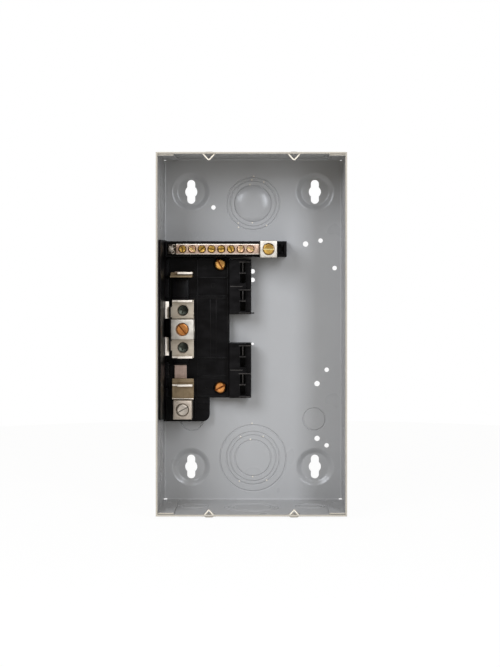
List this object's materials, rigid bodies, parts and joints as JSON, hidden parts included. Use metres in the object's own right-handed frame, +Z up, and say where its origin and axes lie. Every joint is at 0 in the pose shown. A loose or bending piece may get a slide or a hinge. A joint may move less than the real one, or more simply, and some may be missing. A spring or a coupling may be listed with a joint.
{
  "type": "breaker panel box",
  "caption": "Open-front steel load centre box on four keyhole pads, with a plug-on breaker interior, line lugs and a neutral bar with clamping screws",
  "frame": {"origin": "middle of the wall plane that the four mounting pads touch, at the box's middle in width and height", "axes": "+Z up, +X to the right of somebody facing the open front, -Y out of the open front"},
  "size_m": [0.1668, 0.0914, 0.322],
  "materials": {
    "grey_paint": "semi-gloss baked grey enamel",
    "black_plastic": "moulded, fine satin",
    "tinned_aluminium": "tin plated, soft sheen",
    "lug_aluminium": "extruded and sawn",
    "brass_plate": "yellow chromate on steel",
    "copper_plate": "copper coloured plate",
    "zinc_plate": "bright zinc plate",
    "dark_steel": "black oxide"
  },
  "bodies": {
    "panel": {"enclosure": "grey_paint", "interior_base": "black_plastic", "breaker_rail_upper": "black_plastic", "breaker_rail_lower": "black_plastic", "bus_bar_upper": "tinned_aluminium", "bus_bar_lower": "tinned_aluminium", "bus_insulator": "black_plastic", "line_lug_a": "lug_aluminium", "line_lug_b": "lug_aluminium", "line_lug_b_fixing_screw": "zinc_plate", "bus_fixing_screw_upper": "dark_steel", "bus_fixing_screw_lower": "dark_steel", "base_screw_upper": "brass_plate", "base_screw_lower": "brass_plate", "neutral_carrier": "black_plastic", "neutral_bar": "tinned_aluminium", "neutral_bar_mounting_screw": "zinc_plate", "neutral_lug": "lug_aluminium"},
    "neutral_screw_1_body": {"neutral_screw_1": "brass_plate"},
    "neutral_screw_2_body": {"neutral_screw_2": "brass_plate"},
    "neutral_screw_3_body": {"neutral_screw_3": "brass_plate"},
    "neutral_screw_4_body": {"neutral_screw_4": "brass_plate"},
    "neutral_screw_5_body": {"neutral_screw_5": "brass_plate"},
    "neutral_screw_6_body": {"neutral_screw_6": "brass_plate"},
    "neutral_screw_7_body": {"neutral_screw_7": "brass_plate"},
    "neutral_screw_8_body": {"neutral_screw_8": "brass_plate"},
    "neutral_lug_screw_body": {"neutral_lug_screw": "brass_plate"},
    "line_lug_a_screw_body": {"line_lug_a_screw": "zinc_plate"},
    "line_lug_b_screw_body": {"line_lug_b_screw": "copper_plate"}
  },
  "joints": [
    {"name": "neutral_screw_1_slide", "type": "slide", "parent": "panel", "child": "neutral_screw_1_body", "axis": [0, 1, 0], "range_m": [0, 0.0042]},
    {"name": "neutral_screw_2_slide", "type": "slide", "parent": "panel", "child": "neutral_screw_2_body", "axis": [0, 1, 0], "range_m": [0, 0.0042]},
    {"name": "neutral_screw_3_slide", "type": "slide", "parent": "panel", "child": "neutral_screw_3_body", "axis": [0, 1, 0], "range_m": [0, 0.0042]},
    {"name": "neutral_screw_4_slide", "type": "slide", "parent": "panel", "child": "neutral_screw_4_body", "axis": [0, 1, 0], "range_m": [0, 0.0042]},
    {"name": "neutral_screw_5_slide", "type": "slide", "parent": "panel", "child": "neutral_screw_5_body", "axis": [0, 1, 0], "range_m": [0, 0.0042]},
    {"name": "neutral_screw_6_slide", "type": "slide", "parent": "panel", "child": "neutral_screw_6_body", "axis": [0, 1, 0], "range_m": [0, 0.0042]},
    {"name": "neutral_screw_7_slide", "type": "slide", "parent": "panel", "child": "neutral_screw_7_body", "axis": [0, 1, 0], "range_m": [0, 0.0042]},
    {"name": "neutral_screw_8_slide", "type": "slide", "parent": "panel", "child": "neutral_screw_8_body", "axis": [0, 1, 0], "range_m": [0, 0.0042]},
    {"name": "neutral_lug_screw_slide", "type": "slide", "parent": "panel", "child": "neutral_lug_screw_body", "axis": [0, 1, 0], "range_m": [0, 0.0045]},
    {"name": "line_lug_a_screw_slide", "type": "slide", "parent": "panel", "child": "line_lug_a_screw_body", "axis": [0, 1, 0], "range_m": [0, 0.0048]},
    {"name": "line_lug_b_screw_slide", "type": "slide", "parent": "panel", "child": "line_lug_b_screw_body", "axis": [0, 1, 0], "range_m": [0, 0.0048]}
  ]
}
